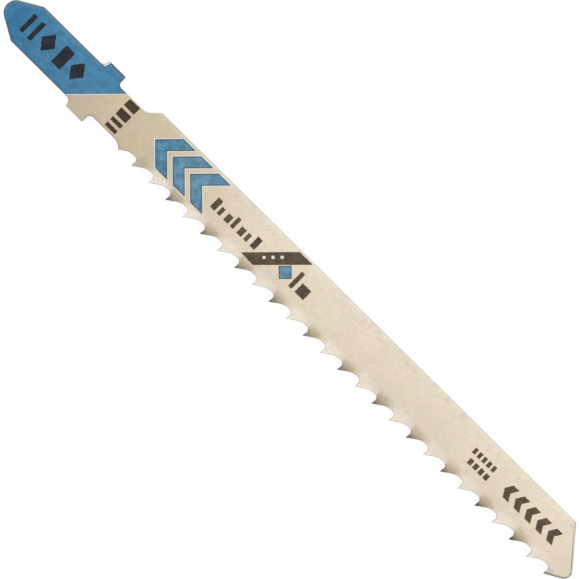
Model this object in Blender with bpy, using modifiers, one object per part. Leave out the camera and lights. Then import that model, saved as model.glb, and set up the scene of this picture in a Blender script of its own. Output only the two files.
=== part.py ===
# Jigsaw blade with a T shank and milled, side-set teeth, for soft metals.
#
# Metres, +Z up. The blade lies flat with its printed face up: +X runs from the shank's nose to the far
# end, and +Y from the teeth to the straight back. The origin is under the middle of the blade's box, and
# the lowest tooth tips touch z = 0.
#
# The blade is made as the real one is. A blank is stamped from steel strip, its edges are rounded, one
# comb of gullets is milled through its lower edge, and then the teeth are bent out to alternate sides.

import math

import bmesh
import bpy
from mathutils import Matrix, Vector

for leftover in list(bpy.data.objects):
    bpy.data.objects.remove(leftover)

MM = 0.001
DEG = math.pi / 180.0

# Whole blade
BLADE_LENGTH = 99.7 * MM  # nose of the shank to the far end
BLADE_THICKNESS = 1.0 * MM
STRIP_WIDTH = 7.8 * MM  # steel strip that the blank is stamped from
SIDE_REACH = STRIP_WIDTH / 2  # shank's centreline to the straight back and to the lugs' outer faces
TOOTH_REACH = 3.52 * MM  # shank's centreline to the tooth tips

# T shank, the same on both sides of its centreline
SHANK_WIDTH = 5.94 * MM
NOSE_RADIUS = 1.56 * MM
NOSE_TAPER = 30.0 * DEG  # each side of the centreline
TAPER_CORNER_RADIUS = 0.50 * MM
LUG_START = 13.85 * MM  # nose to the foot of the lugs
LUG_LENGTH = 3.06 * MM  # at the lugs' foot
LUG_FACE_SLOPE = 14.0 * DEG  # the lugs' near face leans back
LUG_CORNER_RADIUS = 0.14 * MM
LUG_FOOT_RADIUS = 0.65 * MM
LUG_NECK_RADIUS = 0.55 * MM

# Neck and shoulders
NECK_WIDTH = 5.04 * MM
SHOULDER_START = 23.24 * MM  # nose to the corner where the back begins
SHOULDER_ANGLE = 45.0 * DEG
SHOULDER_RADIUS = 1.6 * MM

# Far end
END_SLANT = 49.5 * DEG  # slanted end, to the centreline
END_UNDERCUT = 29.0 * DEG  # edge behind the last tooth, to the centreline
END_RADIUS = 1.1 * MM
LAST_TOOTH_GAP = 2.65 * MM  # last tooth tip to the far end

# Teeth, which point to the shank and cut as the blade is pulled up
TOOTH_PITCH = 3.0 * MM
GULLET_DEPTH = 1.18 * MM
RELIEF_ANGLE = 35.0 * DEG  # back of a tooth, to the blade's length
RAKE_ANGLE = 7.0 * DEG  # face of a tooth, to the blade's width
GULLET_BACK_RADIUS = 2.0 * MM
GULLET_ROOT_RADIUS = 0.5 * MM
MILLING_ALLOWANCE = 0.25 * MM  # strip outside the tooth tips, milled away

# Set of the teeth
TOOTH_SET = 0.25 * MM  # how far a tip stands out from the flat face
BEND_HEIGHT = 2.3 * MM  # tooth tips to the line where the bend starts
BEND_SHARE = 0.9  # part of the bend's height that is curved, before the straight tip

# Edges
EDGE_ROUNDING = 0.1 * MM  # stamped edges
END_ROUNDING = 0.28 * MM  # sheared end and the edge under it
EDGE_SEGMENTS = 2

# Blue coating of the shank, on the printed face
COATING_LENGTH = 15.9 * MM  # nose to the coating's slanted end, on the shank's centreline
COATING_SLANT = 45.0 * DEG  # the coating's end, to the blade's length

# How finely curved stretches are cut
ARC_STEP = 9.0 * DEG
BEND_ROWS = 6
BEND_COLUMNS = 12  # to each tooth

CUTTER_MARGIN = 2.0 * MM
SHARP_ANGLE = 30.0 * DEG
WELD = 0.001 * MM
LENGTHWISE = Vector((1, 0, 0))
CROSSWISE = Vector((0, 1, 0))


def meet(first, first_angle, second, second_angle):
    """Where two lines cross, each given by a point and its angle to +X."""
    along = Vector((math.cos(first_angle), math.sin(first_angle)))
    across = Vector((-math.sin(second_angle), math.cos(second_angle)))
    run = (Vector(second) - Vector(first)).dot(across) / along.dot(across)
    return Vector(first) + along * run


def rounded(corners):
    """The points of a closed outline from (x, y, radius) corners.

    Where two arcs would need more than the side between them, both get smaller.
    """
    spots = [Vector(corner[:2]) for corner in corners]
    count = len(corners)
    halves = []
    reaches = []
    for i, corner in enumerate(corners):
        half = (spots[i - 1] - spots[i]).angle(spots[(i + 1) % count] - spots[i]) / 2
        halves.append(half)
        reaches.append(corner[2] / math.tan(half))
    shares = [1.0] * count
    for i in range(count):
        after = (i + 1) % count
        wanted = reaches[i] + reaches[after]
        side = (spots[after] - spots[i]).length
        if wanted > side:
            shares[i] = min(shares[i], side / wanted)
            shares[after] = min(shares[after], side / wanted)
    points = []
    for i, spot in enumerate(spots):
        reach = reaches[i] * shares[i]
        if reach == 0:
            points.append(spot)
            continue
        back = (spots[i - 1] - spot).normalized()
        on = (spots[(i + 1) % count] - spot).normalized()
        start = spot + back * reach
        centre = spot + (back + on).normalized() * (reach / math.cos(halves[i]))
        turn = math.pi - 2 * halves[i]
        steps = max(2, math.ceil(turn / ARC_STEP))
        side = 1 if on.cross(back) > 0 else -1
        for step in range(steps + 1):
            points.append(centre + Matrix.Rotation(side * turn * step / steps, 2) @ (start - centre))
    return points


def last_tip():
    """Nose to the last tooth's tip."""
    return BLADE_LENGTH - LAST_TOOTH_GAP


def lower_shoulder():
    """Nose to where the lower shoulder would reach the line of the tooth tips."""
    return SHOULDER_START - (SIDE_REACH - TOOTH_REACH) / math.tan(SHOULDER_ANGLE)


def tooth_tips():
    """Nose to each tooth's tip, counted back from the last one as far as the shoulder."""
    count = int((last_tip() - lower_shoulder()) / TOOTH_PITCH) + 1
    return [last_tip() - TOOTH_PITCH * i for i in reversed(range(count))]


def end_corners():
    """The slanted end's two corners and the point where the edge under it leaves the blank."""
    undercut = Vector((math.cos(END_UNDERCUT), math.sin(END_UNDERCUT)))
    centre_x = BLADE_LENGTH - END_RADIUS
    rise = END_RADIUS + undercut.y * (centre_x - last_tip())
    centre = Vector((centre_x, rise / undercut.x - TOOTH_REACH))
    outward = Vector((math.sin(END_SLANT), math.cos(END_SLANT)))
    on_slant = centre + outward * END_RADIUS
    tip = (last_tip(), -TOOTH_REACH)
    top = meet(on_slant, -END_SLANT, (0, SIDE_REACH), 0)
    nose = meet(on_slant, -END_SLANT, tip, END_UNDERCUT)
    foot = meet(tip, END_UNDERCUT, (0, -TOOTH_REACH - MILLING_ALLOWANCE), 0)
    return top, nose, foot


def blank_outline():
    """The stamped blank, from the nose along the toothed side and back along the other side."""
    half_shank = SHANK_WIDTH / 2
    half_neck = NECK_WIDTH / 2
    apex = NOSE_RADIUS - NOSE_RADIUS / math.sin(NOSE_TAPER)
    taper_end = apex + half_shank / math.tan(NOSE_TAPER)
    lean = (SIDE_REACH - half_shank) * math.tan(LUG_FACE_SLOPE)
    lug_end = LUG_START + LUG_LENGTH
    neck_end = SHOULDER_START - (SIDE_REACH - half_neck) / math.tan(SHOULDER_ANGLE)
    strip_edge = TOOTH_REACH + MILLING_ALLOWANCE
    strip_start = neck_end + (strip_edge - half_neck) / math.tan(SHOULDER_ANGLE)
    top, nose, foot = end_corners()
    shank = [
        (taper_end, half_shank, TAPER_CORNER_RADIUS),
        (LUG_START, half_shank, LUG_FOOT_RADIUS),
        (LUG_START + lean, SIDE_REACH, LUG_CORNER_RADIUS),
        (lug_end, SIDE_REACH, LUG_CORNER_RADIUS),
        (lug_end, half_neck, LUG_NECK_RADIUS),
        (neck_end, half_neck, SHOULDER_RADIUS),
    ]
    toothed_side = [(x, -y, radius) for x, y, radius in shank]
    toothed_side += [(strip_start, -strip_edge, 0), (*foot, 0), (*nose, END_RADIUS)]
    back_side = [(*top, 0), (SHOULDER_START, SIDE_REACH, 0), *reversed(shank)]
    return rounded([(apex, 0, NOSE_RADIUS), *toothed_side, *back_side])


def comb_outline():
    """All gullets as one outline: the back of each tooth, the gullet's root, and the next tooth's face."""
    tips = tooth_tips()
    root = GULLET_DEPTH - TOOTH_REACH
    below = -TOOTH_REACH - CUTTER_MARGIN
    starts = [tips[0] - TOOTH_PITCH, *tips]
    corners = [(*meet((starts[0], -TOOTH_REACH), RELIEF_ANGLE, (0, below), 0), 0)]
    for start, tip in zip(starts, tips):
        if corners[1:]:
            corners.append((start, -TOOTH_REACH, 0))
        back = meet((start, -TOOTH_REACH), RELIEF_ANGLE, (0, root), 0)
        face = meet((tip, -TOOTH_REACH), math.pi / 2 - RAKE_ANGLE, (0, root), 0)
        corners.append((*back, GULLET_BACK_RADIUS))
        corners.append((*face, GULLET_ROOT_RADIUS))
    corners.append((*meet((tips[-1], -TOOTH_REACH), math.pi / 2 - RAKE_ANGLE, (0, below), 0), 0))
    return rounded(corners)


def plate(name, points, thickness):
    """A flat outline as a solid mesh object, centred on z = 0."""
    curve = bpy.data.curves.new(name, "CURVE")
    curve.dimensions = "2D"
    curve.fill_mode = "BOTH"
    curve.extrude = thickness / 2
    spline = curve.splines.new("POLY")
    spline.points.add(len(points) - 1)
    for spot, point in zip(spline.points, points):
        spot.co = (point.x, point.y, 0, 1)
    spline.use_cyclic_u = True
    outline = bpy.data.objects.new(name + "_outline", curve)
    bpy.context.scene.collection.objects.link(outline)
    mesh = evaluated_mesh(outline)
    mesh.name = name
    bpy.data.objects.remove(outline)
    bpy.data.curves.remove(curve)
    bm = bmesh.new()
    bm.from_mesh(mesh)
    bmesh.ops.remove_doubles(bm, verts=bm.verts, dist=WELD)
    bmesh.ops.dissolve_limit(bm, angle_limit=1 * DEG, verts=bm.verts, edges=bm.edges)
    bmesh.ops.recalc_face_normals(bm, faces=bm.faces)
    bm.to_mesh(mesh)
    bm.free()
    return bpy.data.objects.new(name, mesh)


def evaluated_mesh(thing):
    """A mesh of the object with its modifiers applied."""
    graph = bpy.context.evaluated_depsgraph_get()
    graph.update()
    return bpy.data.meshes.new_from_object(thing.evaluated_get(graph), depsgraph=graph)


def round_edges(blade):
    """Rounds the rims of both faces, apart from the strip's lower edge that is milled away."""
    top, _, foot = end_corners()
    rim = BLADE_THICKNESS / 2
    widest = max(EDGE_ROUNDING, END_ROUNDING)
    bm = bmesh.new()
    bm.from_mesh(blade.data)
    weight = bm.edges.layers.float.new("bevel_weight_edge")
    for edge in bm.edges:
        first, second = (vert.co for vert in edge.verts)
        on_rim = abs(first.z - second.z) < WELD and abs(abs(first.z) - rim) < WELD
        milled_away = max(first.y, second.y) < -TOOTH_REACH
        if on_rim and not milled_away:
            at_end = min(first.x, second.x) > min(top.x, foot.x) - WELD
            edge[weight] = (END_ROUNDING if at_end else EDGE_ROUNDING) / widest
    bm.to_mesh(blade.data)
    bm.free()
    bevel = blade.modifiers.new("edge_rounding", "BEVEL")
    bevel.limit_method = "WEIGHT"
    bevel.width = widest
    bevel.segments = EDGE_SEGMENTS
    bevel.use_clamp_overlap = False


def mill_teeth(blade, comb):
    """Cuts the comb of gullets through the lower edge."""
    cut = blade.modifiers.new("gullets", "BOOLEAN")
    cut.operation = "DIFFERENCE"
    cut.solver = "EXACT"
    cut.object = comb


def smooth(share):
    """From 0 to 1 with a level start and end."""
    share = min(max(share, 0.0), 1.0)
    return share * share * (3 - 2 * share)


def bend_at(x, y, tips):
    """How far a point of the blade is bent out of its plane, + towards the printed face."""
    drop = (BEND_HEIGHT - TOOTH_REACH - y) / BEND_HEIGHT
    before = GULLET_ROOT_RADIUS
    after = TOOTH_PITCH - before
    number = math.floor((x - tips[0] + before) / TOOTH_PITCH)
    straight_tooth = not 0 < number < len(tips) - 1
    if drop <= 0 or straight_tooth:
        return 0.0
    along = x - tips[number]
    width = smooth(1 + along / before) if along < 0 else smooth(2 * (after - along) / after)
    curved = min(drop, BEND_SHARE)
    lean = curved**2 + 2 * BEND_SHARE * (drop - curved)
    full = BEND_SHARE**2 + 2 * BEND_SHARE * (1 - BEND_SHARE)
    side = 1 if number % 2 else -1
    return side * TOOTH_SET * width * lean / full


def slice_faces(bm, place, normal, low_x, high_x, high_y):
    """Cuts the faces between two places along the blade and under one across it, along a plane."""
    parts = set()
    for face in bm.faces:
        middle = face.calc_center_bounds()
        if low_x < middle.x < high_x and middle.y < high_y:
            parts.update([face, *face.edges, *face.verts])
    bmesh.ops.bisect_plane(bm, geom=list(parts), dist=WELD, plane_co=place, plane_no=normal)


def set_teeth(bm):
    """Bends the teeth out, every other one to each side. The first and the last stay straight."""
    tips = tooth_tips()
    bend_line = BEND_HEIGHT - TOOTH_REACH
    first = tips[1] - GULLET_ROOT_RADIUS
    last = tips[-1] - GULLET_ROOT_RADIUS
    for x in (first, last):
        slice_faces(bm, LENGTHWISE * x, LENGTHWISE, 0, BLADE_LENGTH, SIDE_REACH)
    for row in range(BEND_ROWS):
        y = bend_line - BEND_HEIGHT * row / BEND_ROWS
        slice_faces(bm, CROSSWISE * y, CROSSWISE, first, last, bend_line if row else SIDE_REACH)
    columns = (len(tips) - 2) * BEND_COLUMNS
    for column in range(1, columns):
        x = first + TOOTH_PITCH * column / BEND_COLUMNS
        slice_faces(bm, LENGTHWISE * x, LENGTHWISE, first, last, bend_line)
    for vert in bm.verts:
        vert.co.z += bend_at(vert.co.x, vert.co.y, tips)


def coat_shank(bm, slot):
    """Gives the shank's printed face the coating, up to its slanted end."""
    end = LENGTHWISE * COATING_LENGTH
    across = Vector((math.sin(COATING_SLANT), -math.cos(COATING_SLANT), 0))
    slice_faces(bm, end, across, 0, BLADE_LENGTH, SIDE_REACH)
    for face in bm.faces:
        before_end = across.dot(face.calc_center_bounds() - end) < 0
        if before_end and face.normal.z > 0:
            face.material_index = slot


def finish(name, colour, roughness, metallic):
    """A Principled material."""
    material = bpy.data.materials.new(name)
    material.use_nodes = True
    shader = material.node_tree.nodes["Principled BSDF"]
    shader.inputs["Base Color"].default_value = (*colour, 1)
    shader.inputs["Roughness"].default_value = roughness
    shader.inputs["Metallic"].default_value = metallic
    return material


def new_collection(name):
    """A collection in the scene."""
    made = bpy.data.collections.new(name)
    bpy.context.scene.collection.children.link(made)
    return made


def make_comb(cutters):
    """The cutter for all gullets."""
    comb = plate("gullet_comb", comb_outline(), BLADE_THICKNESS + 2 * CUTTER_MARGIN)
    comb.hide_render = True
    comb.display_type = "WIRE"
    cutters.objects.link(comb)
    return comb


def make_blade(parts, comb):
    """The blade, from the stamped blank to the set teeth and the coated shank."""
    blade = plate("blade", blank_outline(), BLADE_THICKNESS)
    parts.objects.link(blade)
    round_edges(blade)
    mill_teeth(blade, comb)
    mesh = evaluated_mesh(blade)
    blade.modifiers.clear()
    blade.data = mesh
    mesh.materials.clear()
    mesh.materials.append(finish("bright_steel", (0.72, 0.66, 0.56), 0.35, 1.0))
    mesh.materials.append(finish("blue_coating", (0.05, 0.21, 0.42), 0.45, 0.0))
    bm = bmesh.new()
    bm.from_mesh(mesh)
    set_teeth(bm)
    coat_shank(bm, 1)
    bm.to_mesh(mesh)
    bm.free()
    mesh.shade_smooth()
    mesh.set_sharp_from_angle(angle=SHARP_ANGLE)
    lowest = -max(TOOTH_REACH, SIDE_REACH)
    blade.location = (-BLADE_LENGTH / 2, -(SIDE_REACH + lowest) / 2, BLADE_THICKNESS / 2 + TOOTH_SET)
    return blade


gullet_comb = make_comb(new_collection("cutters"))
make_blade(new_collection("jigsaw_blade"), gullet_comb)
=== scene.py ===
import math

import bmesh
import bpy
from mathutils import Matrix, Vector, noise


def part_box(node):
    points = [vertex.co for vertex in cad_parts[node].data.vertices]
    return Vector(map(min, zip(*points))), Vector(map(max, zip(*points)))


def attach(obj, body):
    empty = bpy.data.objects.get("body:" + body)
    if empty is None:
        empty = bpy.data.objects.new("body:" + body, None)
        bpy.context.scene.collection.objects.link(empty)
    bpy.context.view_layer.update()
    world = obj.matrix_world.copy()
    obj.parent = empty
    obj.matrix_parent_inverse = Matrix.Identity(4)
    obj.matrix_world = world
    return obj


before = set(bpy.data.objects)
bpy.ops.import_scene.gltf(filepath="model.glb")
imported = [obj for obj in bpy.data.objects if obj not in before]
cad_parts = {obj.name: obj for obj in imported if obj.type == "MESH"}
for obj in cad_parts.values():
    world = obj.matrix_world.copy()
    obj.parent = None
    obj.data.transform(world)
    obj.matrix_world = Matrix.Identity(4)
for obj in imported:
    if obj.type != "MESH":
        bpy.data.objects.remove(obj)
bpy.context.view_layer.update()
print("frame loaded")

# Jigsaw blade lying flat, printed face up.
# Places on it are written as on a drawing: millimetres from the shank's nose (along), and
# millimetres from the shank's centreline, + towards the straight back (across).

mm = 0.001
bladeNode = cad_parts["blade"]
lowCorner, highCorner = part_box("blade")
toothSet = 0.25 * mm  # the set teeth stand this far out of the flat
faceHeight = highCorner.z - toothSet
joinDistance = 0.001 * mm  # corners that are closer than this are one


def onFace(along, across):
    return Vector((lowCorner.x + along * mm, across * mm))


def fillInputs(tree, node, inputs):  # links each input to a socket, or gives it a fixed value
    for name, value in inputs.items():
        if isinstance(value, bpy.types.NodeSocket):
            tree.links.new(value, node.inputs[name])
        else:
            node.inputs[name].default_value = value
    return node


def addNode(tree, kind, inputs, **settings):
    node = tree.nodes.new(kind)
    for name, value in settings.items():
        setattr(node, name, value)
    return fillInputs(tree, node, inputs)


def calc(tree, operation, first, second=0.0):
    inputs = {0: first, 1: second}
    return addNode(tree, "ShaderNodeMath", inputs, operation=operation).outputs[0]


def product(tree, first, *others):
    for value in others:
        first = calc(tree, "MULTIPLY", first, value)
    return first


def opposite(tree, share):
    return calc(tree, "SUBTRACT", 1.0, share)


def parts(tree, vector):
    return addNode(tree, "ShaderNodeSeparateXYZ", {0: vector}).outputs


def dotProduct(tree, first, second):
    inputs = {0: first, 1: second}
    return addNode(tree, "ShaderNodeVectorMath", inputs, operation="DOT_PRODUCT").outputs["Value"]


def surfaceNormal(tree):
    return tree.nodes.new("ShaderNodeNewGeometry").outputs["Normal"]


def fade(tree, value, start, end, low=0.0, high=1.0):
    inputs = {"Value": value, "From Min": start, "From Max": end, "To Min": low, "To Max": high}
    node = addNode(tree, "ShaderNodeMapRange", inputs, interpolation_type="SMOOTHSTEP")
    return node.outputs["Result"]


def between(tree, share, low, high):  # low where the share is 0, and high where it is 1
    return fade(tree, share, 0, 1, low, high)


def fadeAlong(tree, along, stretch, low=0.0, high=1.0):
    first, last = (onFace(value, 0).x for value in stretch)
    return fade(tree, along, first, last, low, high)


def fadeAcross(tree, across, stretch, low=0.0, high=1.0):
    first, last = (value * mm for value in stretch)
    return fade(tree, across, first, last, low, high)


def within(tree, along, stretch, blur):  # 1 over a stretch of the blade, with soft ends
    first, last = (onFace(value, 0).x for value in stretch)
    rise = fade(tree, along, first, first + blur)
    return product(tree, rise, fade(tree, along, last, last - blur))


def outwardReach(tree, place, corner, angle):
    # how far out each place is, square to a straight edge, and how far out the edge itself is
    outward = (math.cos(math.radians(angle)), math.sin(math.radians(angle)), 0)
    return dotProduct(tree, place, outward), onFace(*corner).to_3d().dot(Vector(outward))


def blendColour(tree, share, first, second, mode="MIX"):
    colours = [c if isinstance(c, bpy.types.NodeSocket) else (*c, 1) for c in (first, second)]
    inputs = {0: share, 6: colours[0], 7: colours[1]}
    return addNode(tree, "ShaderNodeMix", inputs, data_type="RGBA", blend_type=mode).outputs[2]


def tintBy(tree, share, colour, tint):
    return blendColour(tree, share, colour, tint, "MULTIPLY")


def shadeBy(tree, colour, value):  # a plain factor on all three channels
    inputs = {0: colour, "Scale": value}
    return addNode(tree, "ShaderNodeVectorMath", inputs, operation="SCALE").outputs[0]


noiseRange = (0.3, 0.7)  # most of a noise texture lies between these


def noiseBetween(tree, inputs, low=0.0, high=1.0):
    texture = addNode(tree, "ShaderNodeTexNoise", inputs)
    return fade(tree, texture.outputs["Fac"], *noiseRange, low, high)


def newEffect(name, inputs, output):
    group = bpy.data.node_groups.new(name, "ShaderNodeTree")
    for label, value in inputs.items():
        kind = "NodeSocketVector" if value is None else "NodeSocketFloat"
        socket = group.interface.new_socket(label, in_out="INPUT", socket_type=kind)
        if value is not None:
            socket.default_value = value
    group.interface.new_socket(output, in_out="OUTPUT", socket_type="NodeSocketFloat")
    given = group.nodes.new("NodeGroupInput").outputs
    return group, given, group.nodes.new("NodeGroupOutput").inputs[output]


def makeClouds():  # soft uneven patches, from 0 to 1
    inputs = {"Place": None, "Size": 1 * mm, "Detail": 3.0}
    group, given, result = newEffect("clouds", inputs, "Value")
    clouds = noiseBetween(group, {
        "Vector": given["Place"],
        "Scale": calc(group, "DIVIDE", 1.0, given["Size"]),
        "Detail": given["Detail"],
        "Roughness": 0.6,
    })
    group.links.new(clouds, result)
    return group


def makeGrain():  # fine lines that run along the blade, turned by Turn about the upright axis
    inputs = {"Place": None, "Width": 0.05 * mm, "Length": 3 * mm, "Turn": 0.0}
    group, given, result = newEffect("grain", inputs, "Value")
    turn = {"Vector": given["Place"], "Angle": given["Turn"]}
    turned = addNode(group, "ShaderNodeVectorRotate", turn, rotation_type="Z_AXIS").outputs[0]
    stretch = addNode(group, "ShaderNodeCombineXYZ", {
        "X": calc(group, "DIVIDE", 1.0, given["Length"]),
        "Y": calc(group, "DIVIDE", 1.0, given["Width"]),
        "Z": calc(group, "DIVIDE", 1.0, given["Width"]),
    }).outputs[0]
    inputs = {0: turned, 1: stretch}
    place = addNode(group, "ShaderNodeVectorMath", inputs, operation="MULTIPLY").outputs[0]
    lines = noiseBetween(group, {"Vector": place, "Scale": 1.0, "Detail": 2.0})
    group.links.new(lines, result)
    return group


def makeSpecks():  # small round spots, of which Share are kept
    inputs = {"Place": None, "Spacing": 1 * mm, "Radius": 0.1, "Share": 0.5}
    group, given, result = newEffect("specks", inputs, "Mask")
    cells = addNode(group, "ShaderNodeTexVoronoi", {
        "Vector": given["Place"],
        "Scale": calc(group, "DIVIDE", 1.0, given["Spacing"]),
    }).outputs
    kept = calc(group, "LESS_THAN", parts(group, cells["Color"])["X"], given["Share"])
    core = product(group, given["Radius"], 0.5)
    spot = fade(group, cells["Distance"], given["Radius"], core)
    group.links.new(product(group, kept, spot), result)
    return group


def makeEdgeMask():  # 0 on the flats and the bent teeth, 1 on rounded rims and sides
    group, given, result = newEffect("edgeMask", {"Start": 0.95, "Full": 0.85}, "Mask")
    level = calc(group, "ABSOLUTE", parts(group, surfaceNormal(group))["Z"])
    group.links.new(fade(group, level, given["Start"], given["Full"]), result)
    return group


edgeSearch = {
    "samples": 8,
    "likeness": (0.995, 0.88),  # of the plain and the rounded normal, off an edge and on it
}


def makeSharpEdges():  # 1 in a narrow band along edges that aren't rounded
    group, given, result = newEffect("sharpEdges", {"Width": 0.05 * mm}, "Mask")
    inputs = {"Radius": given["Width"]}
    rounded = addNode(group, "ShaderNodeBevel", inputs, samples=edgeSearch["samples"])
    likeness = dotProduct(group, rounded.outputs["Normal"], surfaceNormal(group))
    group.links.new(fade(group, likeness, *edgeSearch["likeness"]), result)
    return group


spotBorder = {
    "unevenSize": 0.35 * mm,
    "reach": (0.4, 1.5),  # the border wanders between these shares of the radius
    "core": 0.35,  # and the spot is full up to this share of the border
}


def makeSpot():  # a soft round patch about a place, with an uneven border
    inputs = {"Place": None, "Along": 0.0, "Across": 0.0, "Radius": 0.5 * mm, "Stretch": 1.0}
    group, given, result = newEffect("spot", inputs, "Mask")
    split = parts(group, given["Place"])
    offAlong = calc(group, "SUBTRACT", split["X"], given["Along"])
    off = addNode(group, "ShaderNodeCombineXYZ", {
        "X": calc(group, "DIVIDE", offAlong, given["Stretch"]),
        "Y": calc(group, "SUBTRACT", split["Y"], given["Across"]),
    }).outputs[0]
    far = addNode(group, "ShaderNodeVectorMath", {0: off}, operation="LENGTH").outputs["Value"]
    uneven = {"Vector": given["Place"], "Scale": 1 / spotBorder["unevenSize"], "Detail": 3.0}
    border = product(group, noiseBetween(group, uneven, *spotBorder["reach"]), given["Radius"])
    share = calc(group, "DIVIDE", far, border)
    group.links.new(fade(group, share, 1.0, spotBorder["core"]), result)
    return group


effects = {
    "clouds": makeClouds(),
    "grain": makeGrain(),
    "specks": makeSpecks(),
    "edgeMask": makeEdgeMask(),
    "sharpEdges": makeSharpEdges(),
    "spot": makeSpot(),
}


def useEffect(tree, kind, **inputs):
    node = tree.nodes.new("ShaderNodeGroup")
    node.node_tree = effects[kind]
    named = {name[0].upper() + name[1:]: value for name, value in inputs.items()}
    return fillInputs(tree, node, named).outputs[0]


def newMaterial(name, inputs):
    material = bpy.data.materials.new(name)
    material.use_nodes = True
    tree = material.node_tree
    return material, tree, fillInputs(tree, tree.nodes["Principled BSDF"], inputs)


def newFinish(name, look):
    material, tree, shader = newMaterial(name, {
        "Metallic": look["metallic"],
        "IOR": look["ior"],
        "Specular IOR Level": look["gloss"],
    })
    place = addNode(tree, "ShaderNodeTexCoord", {}).outputs["Object"]
    return material, tree, shader, place


def connect(tree, shader, colour, roughness, height, depth):
    inputs = {"Height": height, "Distance": depth, "Strength": 1.0}
    normal = addNode(tree, "ShaderNodeBump", inputs).outputs["Normal"]
    fillInputs(tree, shader, {"Base Color": colour, "Roughness": roughness, "Normal": normal})


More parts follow.
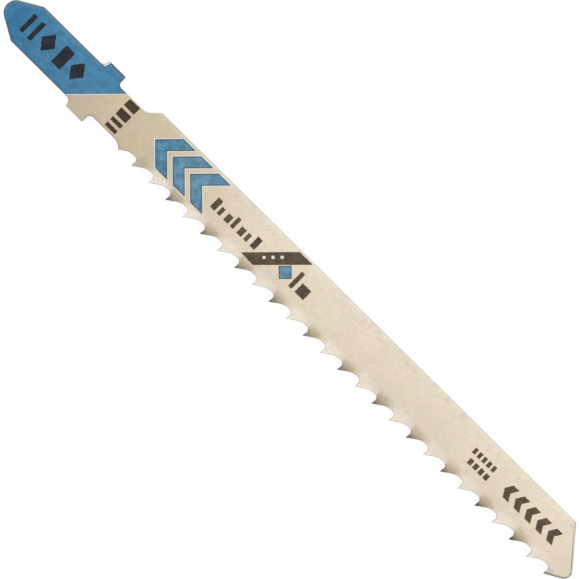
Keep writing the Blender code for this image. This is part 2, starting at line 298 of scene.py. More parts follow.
steel = {
    "metallic": 1.0,
    "ior": 2.5,
    "gloss": 0.5,
    "roughness": 0.22,
    "roughnessSpread": (-0.03, 0.03),
    "grainDepth": 0.0005 * mm,
    "scratchHeight": -2.0,  # times that of the grain

    "neckColour": (0.662, 0.572, 0.434),
    "bodyColour": (0.840, 0.752, 0.628),
    "neckFades": (24.0, 44.5),  # the darker tone of the neck fades out over this stretch
    # painted sheen: the teeth turn whiter, as if they mirrored a brighter sky
    "toothSheenColour": (0.842, 0.763, 0.664),
    "toothSheenAlong": (26.3, 28.2),  # the teeth are as pale as the body from here on
    "toothSheenAcross": (-1.1, -2.4),
    "lugTone": (0.915, 1.0),
    "lugAlong": (14.0, 19.0),
    "slopeTone": (0.98, 1.03),  # from the toothed side to the back
    "slopeAcross": (-1.5, 3.4),
    "tipSheenTint": (1.0, 1.03, 1.10),  # the tips, and the strip along the back, are less yellow; at the tips this is a painted reflection of a whiter sky
    "tipSheenAcross": (-2.7, -3.5),
    "backTint": (1.0, 1.03, 1.09),
    "backAcross": (3.1, 3.6),
    "arrowTint": (1.04, 1.12, 1.20),  # the same strip, beside the blue arrows
    "arrowAlong": (25.0, 37.0),
    "arrowBlur": 2 * mm,
    "bentTipShade": (0.03, 0.58),  # painted shade on the teeth that are bent down, more so towards the far end
    "bentTipShadeAlong": (58.0, 96.0),
    "bentTipShadeAcross": (-2.85, -3.15),
    "bentFacing": (-0.1, -0.2),  # how far such a tooth faces the toothed side

    "pinkTint": (1.012, 0.985, 0.995),
    "yellowTint": (0.995, 1.005, 0.955),
    "hue": {"size": 2.2 * mm, "detail": 2.0},
    "broad": {"size": 3.5 * mm, "detail": 3.0},
    "broadTone": (0.95, 1.035),
    "small": {"size": 0.35 * mm, "detail": 4.0},
    "smallTone": (0.945, 1.04),
    "lines": {"width": 0.05 * mm, "length": 2.5 * mm},
    "lineTone": (0.978, 1.02),

    "stainColour": (0.55, 0.38, 0.22),
    "stainClouds": {"size": 1.6 * mm, "detail": 5.0},
    "stainFrom": 0.75,  # only the thickest of these clouds stain
    "stainShare": 0.22,
    "stainAcross": (1.5, 3.6),
    "stainNearBack": (0.15, 1.0),
    # brown stains: how far along, across, radius, stretch along the blade and share
    "stains": (
        (61.6, 3.40, 0.45, 1.6, 0.25),
        (62.1, 2.80, 0.17, 3.2, 0.55),
        (66.7, 3.15, 0.42, 1.2, 0.3),
        (73.3, 3.30, 0.38, 1.8, 0.3),
        (95.4, 3.20, 0.30, 1.5, 0.3),
    ),
    "toothShadeColour": (0.42, 0.36, 0.31),
    # painted shade on the first and the last tooth, in the same order as a stain
    "shadedTeeth": ((25.9, -2.45, 1.3, 1.0, 0.45), (97.5, -2.75, 0.65, 1.0, 0.33)),
    "speckColour": (0.22, 0.15, 0.10),
    "specks": {"spacing": 1.7 * mm, "radius": 0.06, "share": 0.22},
    "speckShare": 0.55,

    # faint slanting scratches under the back edge: from and to, and how soft their ends are
    "scratched": ((59.0, 76.0), 3 * mm),
    "scuffed": ((33.5, 38.0), 1 * mm),
    "scratchAcross": (0.8, 3.0),
    "scratches": {"width": 0.11 * mm, "length": 1.8 * mm, "turn": -0.62},
    "brightLines": (0.6, 0.95),
    "brightTone": 1.045,
    "darkLines": (0.42, 0.2),
    "darkTone": 0.965,

    # the slanted edge of the far end and the edge under it: a point and its outward angle
    "shearedEnds": (((95.52, 3.9), 40.5), ((97.05, -3.52), -61.0)),
    "shearedRim": 0.45,  # how far in the wide rounding of the far end reaches
    "shearedBlur": (0.08 * mm, 0.04 * mm),

    # rims: a mask starts and is full where the surface has turned so far from level
    "rim": {"start": 0.985, "full": 0.94},
    "shadeLineOuter": {"start": 0.9999, "full": 0.996},
    "shadeLineInner": {"start": 0.965, "full": 0.88},
    "narrowRim": {"start": 0.95, "full": 0.84},
    "wideRim": {"start": 0.80, "full": 0.55},
    "underRim": {"start": 0.97, "full": 0.84},
    "side": {"start": 0.62, "full": 0.3},
    "shadedFacing": (0.06, -0.12),  # edges that face the toothed side or the far end of a lug, painted as the shaded side
    "lugFacing": 0.5,  # how much facing along the blade counts in that
    # painted highlight: rims on the lit side are paler
    "rimColour": (0.88, 0.83, 0.75),
    "rimHighlightShare": (0.3, 0.85),  # away from the far end, and there
    # painted shade: a dark line along the inside of the far end's rounding
    "shadeLineColour": (0.10, 0.09, 0.085),
    "shadeLineShare": (0.8, 0.4),  # on the back's side, and on the toothed side
    "edgeColour": (0.50, 0.45, 0.42),
    # painted shade: rims on the shaded side are darker
    "shadedEdgeColour": (0.21, 0.18, 0.155),
    "edgeShare": 0.9,

    "burrColour": (0.30, 0.28, 0.27),
    "burrWidth": 0.2 * mm,
    "burrAcross": (-2.9, -3.5),
    "burrShare": (0.74, 0.4),
    "stripHighlightColour": (0.60, 0.52, 0.47),  # painted highlight: the wider rim along the lower side of the neck
    "stripWidth": 0.75 * mm,
    "stripEnds": 23.5,
    "stripBlur": 1 * mm,
    "stripAcross": (-1.2, -2.0),
    "stripRise": (0.6, 0.85),
    # painted shade along the border of that highlight
    "borderShadeColour": (0.30, 0.25, 0.21),
    "borderRise": (0.05, 0.3),
    "borderFall": (0.75, 0.45),
    "borderShare": 0.5,

    "shearedColour": (0.33, 0.28, 0.23),
    "shearedTone": (0.75, 1.2),
    "shearedRoughness": 0.5,
    "tears": {"size": 0.14 * mm, "detail": 3.0},
    "highlightDown": (0.3 * mm, 0.2 * mm),  # how far down the far end's rounding keeps a painted highlight
    "highlightLeft": 0.35,  # what is left there of the dark side
}


def groundTone(tree, at):  # the ground face, by place along the blade and across it, with painted sheen and painted shade on the teeth
    along, across = at["along"], at["across"]
    bodyShare = fadeAlong(tree, along, steel["neckFades"])
    colour = blendColour(tree, bodyShare, steel["neckColour"], steel["bodyColour"])
    # painted sheen: whiter teeth
    toothSheen = product(tree, fadeAlong(tree, along, steel["toothSheenAlong"]),
                    fadeAcross(tree, across, steel["toothSheenAcross"]))
    colour = blendColour(tree, toothSheen, colour, steel["toothSheenColour"])
    colour = shadeBy(tree, colour, fadeAlong(tree, along, steel["lugAlong"], *steel["lugTone"]))
    slope = fadeAcross(tree, across, steel["slopeAcross"], *steel["slopeTone"])
    colour = shadeBy(tree, colour, slope)
    # painted reflection: less yellow tips
    colour = tintBy(tree, fadeAcross(tree, across, steel["tipSheenAcross"]), colour, steel["tipSheenTint"])
    backShare = fadeAcross(tree, across, steel["backAcross"])
    colour = tintBy(tree, backShare, colour, steel["backTint"])
    beside = product(tree, within(tree, along, steel["arrowAlong"], steel["arrowBlur"]), backShare)
    colour = tintBy(tree, beside, colour, steel["arrowTint"])
    # painted shade on the teeth that are bent down
    bentDown = product(tree, fade(tree, at["facing"]["Y"], *steel["bentFacing"]),
                       fadeAcross(tree, across, steel["bentTipShadeAcross"]))
    tipShade = fadeAlong(tree, along, steel["bentTipShadeAlong"], *steel["bentTipShade"])
    return shadeBy(tree, colour, opposite(tree, product(tree, bentDown, tipShade)))


def addStainsAndShade(tree, at, colour):  # stains, mostly under the back edge, and painted shade on the first and the last tooth
    clouds = useEffect(tree, "clouds", place=at["place"], **steel["stainClouds"])
    nearBack = fadeAcross(tree, at["across"], steel["stainAcross"], *steel["stainNearBack"])
    cover = fade(tree, clouds, steel["stainFrom"], 1.0, 0.0, steel["stainShare"])
    colour = blendColour(tree, product(tree, cover, nearBack), colour, steel["stainColour"])
    # the second pass paints shade on the first and the last tooth
    for key, stainColour in (("stains", "stainColour"), ("shadedTeeth", "toothShadeColour")):
        for along, across, radius, stretch, share in steel[key]:
            middle = onFace(along, across)
            spot = useEffect(tree, "spot", place=at["place"], along=middle.x, across=middle.y,
                             radius=radius * mm, stretch=stretch)
            colour = blendColour(tree, product(tree, spot, share), colour, steel[stainColour])
    specks = useEffect(tree, "specks", place=at["place"], **steel["specks"])
    share = product(tree, specks, steel["speckShare"])
    return blendColour(tree, share, colour, steel["speckColour"])


def scratchMasks(tree, at):  # the bright lines of the scratches, and the dark ones between them
    slant = useEffect(tree, "grain", place=at["place"], **steel["scratches"])
    zones = [within(tree, at["along"], *steel[key]) for key in ("scratched", "scuffed")]
    zone = product(tree, calc(tree, "ADD", *zones),
                   fadeAcross(tree, at["across"], steel["scratchAcross"]))
    return [product(tree, fade(tree, slant, *steel[key]), zone)
            for key in ("brightLines", "darkLines")]


def farEnd(tree, at):  # 1 on the wide roundings of the far end
    inward, outward = steel["shearedBlur"]
    atEnd = 0.0
    for corner, angle in steel["shearedEnds"]:
        depth, edge = outwardReach(tree, at["place"], corner, angle)
        level = edge - steel["shearedRim"] * mm
        atEnd = calc(tree, "MAXIMUM", atEnd, fade(tree, depth, level - inward, level + outward))
    return atEnd


def addRims(tree, at, colour):
    atEnd, lowSide = at["farEnd"], at["lowSide"]
    names = ("rim", "shadeLineOuter", "shadeLineInner", "narrowRim", "wideRim", "underRim")
    masks = {name: useEffect(tree, "edgeMask", **steel[name]) for name in names}

    # painted highlight: rims on the lit side are paler, and a painted shade line runs along the
    # inside of the far end's wide rim
    share = product(tree, masks["rim"], between(tree, atEnd, *steel["rimHighlightShare"]), at["highSide"])
    colour = blendColour(tree, share, colour, steel["rimColour"])
    shadeLine = calc(tree, "SUBTRACT", masks["shadeLineOuter"], masks["shadeLineInner"])
    shadeLine = product(tree, shadeLine, atEnd, between(tree, lowSide, *steel["shadeLineShare"]))
    colour = blendColour(tree, shadeLine, colour, steel["shadeLineColour"])

    # the outer part of every rim is dull, and darker on the toothed side, which is painted shade
    narrow = product(tree, masks["narrowRim"], opposite(tree, atEnd))
    wide = product(tree, masks["wideRim"], atEnd)
    wide = calc(tree, "MAXIMUM", wide, product(tree, masks["underRim"], atEnd, lowSide))
    edgeColour = blendColour(tree, lowSide, steel["edgeColour"], steel["shadedEdgeColour"])
    dullAndShaded = product(tree, calc(tree, "MAXIMUM", narrow, wide), steel["edgeShare"])
    return blendColour(tree, dullAndShaded, colour, edgeColour)


def addBurrs(tree, at, colour):
    # the edges of the milled gullets catch as fine grey lines
    burr = useEffect(tree, "sharpEdges", width=steel["burrWidth"])
    burrShare = fadeAcross(tree, at["across"], steel["burrAcross"], *steel["burrShare"])
    colour = blendColour(tree, product(tree, burr, burrShare), colour, steel["burrColour"])

    # painted highlight: a wider, paler rim with a painted shade border along the lower lug, the
    # neck and the shoulder
    near = useEffect(tree, "sharpEdges", width=steel["stripWidth"])
    end = onFace(steel["stripEnds"], 0).x
    zone = product(tree, fade(tree, at["along"], end, end - steel["stripBlur"]),
                   fadeAcross(tree, at["across"], steel["stripAcross"]))
    highlightStrip = product(tree, fade(tree, near, *steel["stripRise"]), opposite(tree, burr), zone)
    colour = blendColour(tree, highlightStrip, colour, steel["stripHighlightColour"])
    border = product(tree, fade(tree, near, *steel["borderRise"]),
                     fade(tree, near, *steel["borderFall"]), zone, steel["borderShare"])
    return blendColour(tree, border, colour, steel["borderShadeColour"])


def addSides(tree, at, colour):
    # stamped sides are darker, with tear marks, but the slanted edge's rounding keeps a painted
    # highlight on the lit side
    deep, shallow = (faceHeight - depth for depth in steel["highlightDown"])
    highlighted = product(tree, at["farEnd"], at["highSide"], fade(tree, at["up"], deep, shallow))
    side = product(tree, useEffect(tree, "edgeMask", **steel["side"]),
                   between(tree, highlighted, 1.0, steel["highlightLeft"]))
    tears = useEffect(tree, "clouds", place=at["place"], **steel["tears"])
    sheared = shadeBy(tree, steel["shearedColour"], between(tree, tears, *steel["shearedTone"]))
    return blendColour(tree, side, colour, sheared), side


def makeSteel():
    material, tree, shader, place = newFinish("satinSteel", steel)
    split, facing = parts(tree, place), parts(tree, surfaceNormal(tree))
    at = {"place": place, "along": split["X"], "across": split["Y"], "up": split["Z"],
          "facing": facing}
    # the shaded side and the lit side, for painted shade and painted highlight on the rims
    turned = calc(tree, "SUBTRACT", facing["Y"], product(tree, facing["X"], steel["lugFacing"]))
    at["lowSide"] = fade(tree, turned, *steel["shadedFacing"])
    at["highSide"] = opposite(tree, at["lowSide"])
    at["farEnd"] = farEnd(tree, at)

    hue, broad, small = (useEffect(tree, "clouds", place=place, **steel[key])
                         for key in ("hue", "broad", "small"))
    lines = useEffect(tree, "grain", place=place, **steel["lines"])
    colour = groundTone(tree, at)
    tint = blendColour(tree, hue, steel["pinkTint"], steel["yellowTint"])
    colour = tintBy(tree, 1.0, colour, tint)
    for share, tone in ((broad, "broadTone"), (small, "smallTone"), (lines, "lineTone")):
        colour = shadeBy(tree, colour, between(tree, share, *steel[tone]))
    colour = addStainsAndShade(tree, at, colour)
    bright, dark = scratchMasks(tree, at)
    colour = shadeBy(tree, colour, between(tree, bright, 1.0, steel["brightTone"]))
    colour = shadeBy(tree, colour, between(tree, dark, 1.0, steel["darkTone"]))
    colour = addRims(tree, at, colour)
    colour = addBurrs(tree, at, colour)
    colour, side = addSides(tree, at, colour)

    uneven = [between(tree, share, *steel["roughnessSpread"]) for share in (broad, small)]
    roughness = calc(tree, "ADD", calc(tree, "ADD", *uneven), steel["roughness"])
    mix = {0: side, 2: roughness, 3: steel["shearedRoughness"]}
    roughness = addNode(tree, "ShaderNodeMix", mix).outputs[0]
    height = calc(tree, "ADD", lines, product(tree, bright, steel["scratchHeight"]))
    connect(tree, shader, colour, roughness, height, steel["grainDepth"])
    return material


film = {  # what the coating, the print and the pale band have in common
    "metallic": 0.0,
    "ior": 1.45,
    "gloss": 0.3,
    "roughnessSpread": 0.06,
    "reliefDepth": 0.004 * mm,
    "noseTint": (1, 1, 1),
    "noseAlong": (9, 1),
    "lowTone": 1.0,  # at the toothed side, and as far above 1 at the back
    "toneAcross": (-3, 3),
    "mottle": 0.22,
    "patches": {"size": 1.1 * mm, "detail": 4.0},
    "texture": {"size": 0.16 * mm, "detail": 3.0},
    "textureMottle": 1.2,  # times the mottle
    "fleckAmount": 0.4,
    "flecks": {"spacing": 0.33 * mm, "radius": 0.24},
    "fleckAreas": {"size": 2.4 * mm, "detail": 2.0},
    "fleckRise": (0.35, 0.85),
    "fleckShare": (0.08, 0.75),
}

coating = {
    **film,
    "colour": (0.058, 0.228, 0.403),
    "rimColour": (0.062, 0.108, 0.145),
    "fleckColour": (0.36, 0.49, 0.58),
    "mottle": 0.13,
    "noseTint": (0.62, 0.86, 0.92),  # darker towards the nose and the toothed side
    "lowTone": 0.955,
    "roughness": 0.42,
    "thinColour": (0.21, 0.25, 0.27),  # where the blue wears thin along its upper side and nose
    "thinShare": 0.65,
    "thinRim": 0.3,  # what is left there of the rim's dark tone
    "thinWidth": 0.65 * mm,
    # a point on each such side and its outward angle, then the lug's
    "thinSides": (((5.0, 2.97), 90), ((3.58, 2.97), 120), ((0.0, 0.0), 180)),
    "thinLug": ((15.0, 3.9), 90),
    "thinSidesEnd": 13.8,
    "thinBlur": 0.3 * mm,
}

stripeBlue = {
    **coating,
    "colour": (0.080, 0.238, 0.372),
    "noseTint": (1, 1, 1),
    "mottle": 0.22,
    "fleckAmount": 0.65,
    "farTint": (1.6, 1.19, 1.13),  # greyer away from the shank
    "farAlong": (26.0, 31.5),
}

ink = {
    **film,
    "colour": (0.060, 0.037, 0.017),
    "farTint": (1.82, 2.1, 2.7),  # browner and paler away from the shank
    "farAlong": (22.0, 35.0),
    "rimColour": (0.10, 0.08, 0.06),
    "fleckColour": (0.17, 0.14, 0.10),
    "roughness": 0.5,
}

shankInk = {
    **ink,
    "colour": (0.014, 0.019, 0.031),
    "fleckColour": (0.075, 0.055, 0.045),
    "mottle": 0.3,
}

# a pale film, for the pale band beside the blue and for the pale dots in the band
paleFilm = {
    **film,
    "colour": (0.80, 0.80, 0.74),
    "rimColour": (0.78, 0.76, 0.70),
    "fleckColour": (0.7, 0.7, 0.7),
    "fleckAmount": 0.2,
    "mottle": 0.05,
    "roughness": 0.45,
    "reliefDepth": 0.002 * mm,
}


def nearSide(tree, place, corner, angle):  # 1 along a straight side, and fades in from it
    depth, edge = outwardReach(tree, place, corner, angle)
    return fade(tree, depth, edge - coating["thinWidth"], edge)


def thinBlue(tree, place, along):  # where the shank's blue is worn thin
    thin = 0.0
    for corner, angle in coating["thinSides"]:
        thin = calc(tree, "MAXIMUM", thin, nearSide(tree, place, corner, angle))
    end = onFace(coating["thinSidesEnd"], 0).x
    thin = product(tree, thin, fade(tree, along, end, end - coating["thinBlur"]))
    thin = calc(tree, "MAXIMUM", thin, nearSide(tree, place, *coating["thinLug"]))
    return product(tree, thin, coating["thinShare"])


def makeFilm(name, look):  # printed or rolled-on colour, uneven as it dries
    material, tree, shader, place = newFinish(name, look)
    patches, texture, areas = (useEffect(tree, "clouds", place=place, **look[key])
                               for key in ("patches", "texture", "fleckAreas"))
    flecks = useEffect(tree, "specks", place=place, share=look["fleckAmount"], **look["flecks"])
    rim = addNode(tree, "ShaderNodeAttribute", {}, attribute_name="rim").outputs["Fac"]
    split = parts(tree, place)
    along, across = split["X"], split["Y"]

    lowTone, highTone = look["lowTone"], 2 - look["lowTone"]
    tone = fadeAcross(tree, across, look["toneAcross"], lowTone, highTone)
    colour = shadeBy(tree, look["colour"], tone)
    colour = tintBy(tree, fadeAlong(tree, along, look["noseAlong"]), colour, look["noseTint"])
    if "farTint" in look:
        colour = tintBy(tree, fadeAlong(tree, along, look["farAlong"]), colour, look["farTint"])
    for share, mottle in ((patches, look["mottle"]),
                          (texture, look["mottle"] * look["textureMottle"])):
        colour = shadeBy(tree, colour, between(tree, share, 1 - mottle, 1 + mottle))
    cover = fade(tree, areas, *look["fleckRise"], *look["fleckShare"])
    colour = blendColour(tree, product(tree, flecks, cover), colour, look["fleckColour"])
    if look is coating:
        thin = thinBlue(tree, place, along)
        left = fade(tree, thin, 0, coating["thinShare"], 1.0, coating["thinRim"])
        rim = product(tree, rim, left)
        colour = blendColour(tree, thin, colour, coating["thinColour"])
    colour = blendColour(tree, rim, colour, look["rimColour"])
    spread = look["roughnessSpread"]
    roughness = between(tree, texture, look["roughness"] - spread, look["roughness"] + spread)
    connect(tree, shader, colour, roughness, texture, look["reliefDepth"])
    return material


materials = {
    "steel": makeSteel(),
    "blue": makeFilm("blueCoating", coating),
    "black": makeFilm("blackInk", ink),
    "shankBlack": makeFilm("shankInk", shankInk),
    "stripeBlue": makeFilm("stripeBlue", stripeBlue),
    "paleFilm": makeFilm("paleBandFilm", paleFilm),
}
print("materials made")


shading = {
    "flatAngle": math.radians(0.3),  # faces that turn less than this are one flat
    "softAngle": math.radians(47),  # edges that turn less than this are shaded round
    "flatWeight": 100,
}


def makeNormals():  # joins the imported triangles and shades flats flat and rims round
    weld = bladeNode.modifiers.new("joinCorners", "WELD")
    weld.merge_threshold = joinDistance
    merge = bladeNode.modifiers.new("joinFlats", "DECIMATE")
    merge.decimate_type = "DISSOLVE"
    merge.angle_limit = shading["flatAngle"]
    tree = bpy.data.node_groups.new("cleanShading", "GeometryNodeTree")
    for way in ("INPUT", "OUTPUT"):
        tree.interface.new_socket("Geometry", in_out=way, socket_type="NodeSocketGeometry")
    shape = tree.nodes.new("NodeGroupInput").outputs[0]
    inputs = {"Geometry": shape, "Name": "custom_normal"}
    bare = addNode(tree, "GeometryNodeRemoveAttribute", inputs).outputs[0]
    inputs = {"Geometry": bare, "Shade Smooth": True}
    smooth = addNode(tree, "GeometryNodeSetShadeSmooth", inputs).outputs[0]
    angle = addNode(tree, "GeometryNodeInputMeshEdgeAngle", {}).outputs["Unsigned Angle"]
    inputs = {0: angle, 1: shading["softAngle"]}
    soft = addNode(tree, "FunctionNodeCompare", inputs, operation="LESS_THAN").outputs[0]
    inputs = {"Geometry": smooth, "Shade Smooth": soft}
    edges = addNode(tree, "GeometryNodeSetShadeSmooth", inputs, domain="EDGE")
    tree.links.new(edges.outputs[0], tree.nodes.new("NodeGroupOutput").inputs[0])
    bladeNode.modifiers.new("cleanShading", "NODES").node_group = tree
    weighted = bladeNode.modifiers.new("flatFaces", "WEIGHTED_NORMAL")
    weighted.keep_sharp = True
    weighted.weight = shading["flatWeight"]


makeNormals()
bladeNode.data.materials.clear()
bladeNode.data.materials.append(materials["steel"])
print("blade finished")


sharpestCorner = 0.4  # keeps a sharp corner of a film from running far out


def moved(points, distance):  # the outline grown by a distance, or shrunk where it is below 0
    result = []
    for i, point in enumerate(points):
        before = (point - points[i - 1]).normalized()
        after = (points[(i + 1) % len(points)] - point).normalized()
        outward = Vector((before.y + after.y, -before.x - after.x)).normalized()
        square = outward.dot(Vector((before.y, -before.x)))
        result.append(point + outward * (distance / max(sharpestCorner, square)))
    return result


printEdge = {
    "step": 0.07 * mm,
    "wander": 0.045 * mm,
    "dotWander": 0.03 * mm,
    "size": 0.13 * mm,  # how far apart its ups and downs lie
    "seed": 7,  # without one, the noise would start from the clock
}
noise.seed_set(printEdge["seed"])


def roughened(points, wander):  # walks the outline in short steps and lets it wander a little
    result = []
    for i, point in enumerate(points):
        after = points[(i + 1) % len(points)]
        count = max(1, round((after - point).length / printEdge["step"]))
        for k in range(count):
            spot = point.lerp(after, k / count)
            place = Vector((spot.x, spot.y, 0)) * (1 / printEdge["size"])
            result.append(spot + Vector(noise.noise_vector(place)[:2]) * wander)
    return result


def layFilm(name, outlines, finish, rings, thickness=0.018 * mm):
    # a ring says how far it is out from the outline, how far above the steel, and its rim tone
    bm = bmesh.new()
    rimLayer = bm.verts.layers.float.new("rim")
    for outline in outlines:
        loops = []
        for distance, lift, tone in rings:
            loop = [bm.verts.new((p.x, p.y, faceHeight + lift)) for p in moved(outline, distance)]
            for vert in loop:
                vert[rimLayer] = tone
            loops.append(loop)
        for outer, inner in zip(loops, loops[1:]):
            for i in range(len(outer)):
                k = (i + 1) % len(outer)
                bm.faces.new((outer[i], outer[k], inner[k], inner[i]))
        bm.faces.new(loops[-1])
    under = bmesh.ops.extrude_face_region(bm, geom=list(bm.faces), use_keep_orig=True)["geom"]
    for vert in under:
        if isinstance(vert, bmesh.types.BMVert):
            vert.co.z -= thickness
    bmesh.ops.recalc_face_normals(bm, faces=bm.faces)
    mesh = bpy.data.meshes.new(name)
    bm.to_mesh(mesh)
    bm.free()
    mesh.materials.append(finish)
    piece = bpy.data.objects.new(name, mesh)
    bpy.context.scene.collection.objects.link(piece)
    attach(piece, "root")


shankCoat = {
    "end": 15.9,  # from the nose to the slanted end, on the centreline
    "slant": math.radians(45),
    "bareStrip": 0.30,  # left without blue at the upper lug's near face
    "lugFoot": (13.85, 2.97),
    "lugLean": math.radians(14),
    # the blue runs a little over the rounded rim
    "rings": [(0.07 * mm, -0.017 * mm, 1.0), (0, 0.014 * mm, 0.75), (-0.10 * mm, 0.014 * mm, 0.0)],
    "paleBandPast": 0.11,  # how far the pale band shows past the blue's slanted end
    "paleBandStrip": 0.02,
    "paleBandRings": [(0, 0.006 * mm, 0.0)],
    "paleBandThickness": 0.008 * mm,
    "levelNormal": 0.999,
    "nearby": 0.01 * mm,
}


def coatOutline(past, heldBack):
    # the flat of the shank, taken from the blade and cut at the slanted end or a little past it
    bm = bmesh.new()
    bm.from_mesh(bladeNode.data)
    bmesh.ops.remove_doubles(bm, verts=bm.verts, dist=joinDistance)
    lowest = faceHeight - shankCoat["nearby"]
    others = [f for f in bm.faces
              if f.normal.z < shankCoat["levelNormal"] or f.calc_center_median().z < lowest]
    bmesh.ops.delete(bm, geom=others, context="FACES")
    slantSine, slantCosine = math.sin(shankCoat["slant"]), math.cos(shankCoat["slant"])
    end = onFace(shankCoat["end"] + past / slantSine, 0).to_3d()
    bmesh.ops.bisect_plane(bm, geom=[*bm.verts, *bm.edges, *bm.faces], plane_co=end,
                           plane_no=Vector((slantSine, -slantCosine, 0)), clear_outer=True)
    bmesh.ops.dissolve_faces(bm, faces=bm.faces)
    face = max(bm.faces, key=lambda f: f.calc_area())
    points = [Vector(v.co[:2]) for v in face.verts]
    bm.free()
    # the film stops short of the upper lug's near face
    footAlong, footAcross = shankCoat["lugFoot"]
    limit = onFace(footAlong + heldBack, footAcross)
    result = []
    for point in points:
        rise = point.y - limit.y
        edgeX = limit.x + rise * math.tan(shankCoat["lugLean"])
        if rise > 0 and point.x < edgeX:
            point = Vector((edgeX, point.y))
        if not result or (point - result[-1]).length > shankCoat["nearby"]:
            result.append(point)
    return result


blueOutline = coatOutline(0, shankCoat["bareStrip"])
layFilm("shank_coating", [blueOutline], materials["blue"], shankCoat["rings"])
paleBandOutline = coatOutline(shankCoat["paleBandPast"], shankCoat["paleBandStrip"])
layFilm("shank_pale_band", [paleBandOutline], materials["paleFilm"],
        shankCoat["paleBandRings"], shankCoat["paleBandThickness"])
print("shank coated")


stripes = {
    "starts": (24.9, 27.95, 31.0),  # tips of the three blue arrows, which point to the shank
    "middle": 0.95,
    "halfHeight": 2.52,
    "width": 2.1,
    "rings": [(0, 0.014 * mm, 1.0), (-0.09 * mm, 0.014 * mm, 0.9), (-0.18 * mm, 0.014 * mm, 0.0)],
    "paleBandRings": [(0.13 * mm, 0.007 * mm, 0.0)],
    "paleBandThickness": 0.009 * mm,
}


def arrow(tip, middle, half, width, lean=1.0):
    back = half * lean
    corners = [(0, 0), (back, -half), (back + width, -half),
               (width, 0), (back + width, half), (back, half)]
    return [onFace(tip + x, middle + y) for x, y in corners]


arrows = [arrow(tip, stripes["middle"], stripes["halfHeight"], stripes["width"])
          for tip in stripes["starts"]]
layFilm("blue_arrows", arrows, materials["stripeBlue"], stripes["rings"])
layFilm("blue_arrows_edge", arrows, materials["paleFilm"],
        stripes["paleBandRings"], stripes["paleBandThickness"])


def block(left, bottom, width, height):
    corners = [(0, 0), (width, 0), (width, height), (0, height)]
    return [onFace(left + x, bottom + y) for x, y in corners]


def diamond(left, bottom, width, height):
    corners = [(width / 2, 0), (width, height / 2), (width / 2, height), (0, height / 2)]
    return [onFace(left + x, bottom + y) for x, y in corners]


# plain printed marks: bars, blocks, diamonds and small arrows
marks = {
    "shank_marks": [
        block(3.3, -1.25, 0.62, 2.8),
        block(4.7, -1.25, 0.62, 2.8),
        diamond(5.95, -1.25, 2.2, 2.8),
        block(8.9, -1.25, 1.5, 2.8),
        diamond(11.0, -1.25, 2.2, 2.8),
    ],
    "neck_marks": [
        block(19.15, -2.15, 1.75, 0.55),
        block(19.15, -1.2, 1.75, 0.55),
        block(19.15, -0.25, 1.75, 1.1),
        block(19.15, 1.25, 1.75, 1.1),
    ],
    "middle_marks": [
        block(35.6 + 1.15 * i, -0.2, 0.55 if i % 2 else 0.8, 1.1 if i % 3 else 1.6)
        for i in range(7)
    ],
    "middle_band": [
        [onFace(*p) for p in ((42.33, -1.55), (44.5, -1.62), (49.8, 3.63), (47.53, 3.64))],
    ],
    "after_marks": [block(49.4, -0.35, 0.6, 2.45), block(50.5, -0.35, 1.5, 1.5)],
    "upper_row": [block(80.15 + 0.8 * i, 0.98, 0.5, 0.8) for i in range(5)],
    "lower_row": [block(80.6 + 0.9 * i, -0.38, 0.62, 0.8) for i in range(4)],
    "end_marks": [arrow(86.2 + 1.9 * i, 0.7, 1.0, 1.0, 0.6) for i in range(5)],
}
blueMark = diamond(46.85, -0.6, 2.3, 2.3)
bandDots = [diamond(44.55 + 0.8 * i, -0.25 + 0.8 * i, 0.55, 0.55) for i in range(3)]

printing = {
    "rings": [(0, 0.022 * mm, 0.0)],
    "thickness": 0.026 * mm,
    "dotRings": [(0, 0.027 * mm, 0.0)],
    "dotThickness": 0.02 * mm,
}

for name, outlines in marks.items():
    rough = [roughened(outline, printEdge["wander"]) for outline in outlines]
    finish = materials["shankBlack" if name == "shank_marks" else "black"]
    layFilm(name, rough, finish, printing["rings"], printing["thickness"])
layFilm("blue_mark", [blueMark], materials["stripeBlue"], stripes["rings"])
rough = [roughened(outline, printEdge["dotWander"]) for outline in bandDots]
layFilm("band_dots", rough, materials["paleFilm"],
        printing["dotRings"], printing["dotThickness"])
print("print laid")


studio = {
    "floorSize": 6.0,
    "floorColour": (0.30, 0.30, 0.30),
    "floorGlow": 0.81,  # added where the camera or a reflection sees the floor
    "skyLight": 0.85,
    "lampPlace": (0.16, 0.56, 0.46),
    "lampSize": 0.5,
    "lampPower": 0.4,
    "cardHeight": 0.55,
    "cardHalfWidth": 0.22,
    "cardSides": (-0.022, -0.42),  # from close beside the blade, out on its toothed side
    # the card fades from pale brown at its near side, by way of olive brown, to black
    "cardDark": -0.225,
    "cardPale": (0.86, 0.795, 0.69),
    "cardOlive": (0.475, 0.432, 0.342),
    "cardOliveShare": 0.36,
    "cardBlack": (0.012, 0.011, 0.010),
}


def seenRays(tree):  # 1 for rays that show a background: to the camera, in gloss, through glass
    path = tree.nodes.new("ShaderNodeLightPath").outputs
    both = calc(tree, "MAXIMUM", path["Is Camera Ray"], path["Is Glossy Ray"])
    return calc(tree, "MAXIMUM", both, path["Is Transmission Ray"])


def addSheet(name, corners, material):  # one flat face that belongs to the stage
    mesh = bpy.data.meshes.new(name)
    mesh.from_pydata(corners, [], [(0, 1, 2, 3)])
    mesh.materials.append(material)
    sheet = bpy.data.objects.new(name, mesh)
    bpy.context.scene.collection.objects.link(sheet)
    return sheet


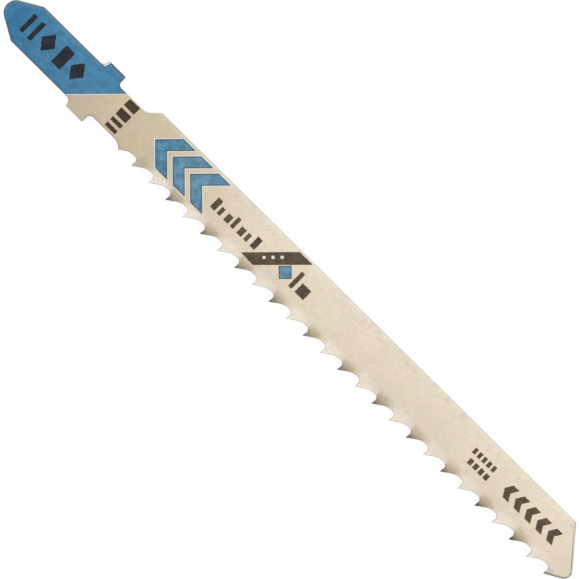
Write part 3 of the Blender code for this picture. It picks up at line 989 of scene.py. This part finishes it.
def makeFloor():
    material, tree, shader = newMaterial("paleFloor", {
        "Base Color": (*studio["floorColour"], 1),
        "Roughness": 1.0,
        "Specular IOR Level": 0.0,
        "Emission Color": (1, 1, 1, 1),
    })
    glow = product(tree, seenRays(tree), studio["floorGlow"])
    fillInputs(tree, shader, {"Emission Strength": glow})
    half = studio["floorSize"] / 2
    corners = [(-half, -half, 0), (half, -half, 0), (half, half, 0), (-half, half, 0)]
    floor = addSheet("floor", corners, material)


def makeSky():
    world = bpy.data.worlds.new("studio")
    bpy.context.scene.world = world
    world.use_nodes = True
    tree = world.node_tree
    strength = between(tree, seenRays(tree), studio["skyLight"], 1.0)
    fillInputs(tree, tree.nodes["Background"], {"Color": (1, 1, 1, 1), "Strength": strength})


def makeLamp():
    lamp = bpy.data.lights.new("softbox", "AREA")
    lamp.shape = "SQUARE"
    lamp.size = studio["lampSize"]
    lamp.energy = studio["lampPower"]
    holder = bpy.data.objects.new("softbox", lamp)
    holder.location = studio["lampPlace"]
    holder.rotation_euler = (-Vector(studio["lampPlace"])).to_track_quat("-Z", "Y").to_euler()
    holder.visible_camera = False
    bpy.context.scene.collection.objects.link(holder)


def makeCard():  # a card beside the blade, brown to black, that the bent-down teeth mirror
    near, far = studio["cardSides"]
    half, height = studio["cardHalfWidth"], studio["cardHeight"]
    material, tree, shader = newMaterial("darkCard", {
        "Base Color": (0, 0, 0, 1),
        "Roughness": 1.0,
        "Specular IOR Level": 0.0,
        "Emission Strength": 1.0,
    })
    place = addNode(tree, "ShaderNodeTexCoord", {}).outputs["Object"]
    inputs = {"Value": parts(tree, place)["Y"], "From Min": studio["cardDark"], "From Max": near}
    share = addNode(tree, "ShaderNodeMapRange", inputs, clamp=True).outputs["Result"]
    middle = studio["cardOliveShare"]
    lower, upper = (addNode(tree, "ShaderNodeMapRange", {"Value": share, limit: middle},
                            clamp=True).outputs["Result"] for limit in ("From Max", "From Min"))
    colour = blendColour(tree, lower, studio["cardBlack"], studio["cardOlive"])
    colour = blendColour(tree, upper, colour, studio["cardPale"])
    fillInputs(tree, shader, {"Emission Color": colour})
    corners = [(-half, far, height), (half, far, height),
               (half, near, height), (-half, near, height)]
    card = addSheet("darkCard", corners, material)
    card.visible_camera = False
    card.visible_diffuse = False
    card.visible_shadow = False


view = {
    "height": 0.80,
    "turn": math.radians(44.675),
    "middle": (49.88, -0.58),  # the picture's middle on the blade
    "width": 71.88 * mm,  # seen across the picture, at the printed face
    "sensor": 36.0,
    "clip": (0.01, 20.0),
}


def makeCamera():
    camera = bpy.data.cameras.new("camera")
    camera.type = "PERSP"
    camera.sensor_width = view["sensor"]
    camera.lens = view["height"] * view["sensor"] / view["width"]
    camera.clip_start, camera.clip_end = view["clip"]
    holder = bpy.data.objects.new("camera", camera)
    middle = onFace(*view["middle"])
    holder.location = (middle.x, middle.y, faceHeight + view["height"])
    holder.rotation_euler = (0, 0, view["turn"])
    bpy.context.scene.collection.objects.link(holder)
    bpy.context.scene.camera = holder


makeFloor()
makeSky()
makeLamp()
makeCard()
makeCamera()
bpy.context.scene.view_settings.view_transform = "Standard"
print("studio set")
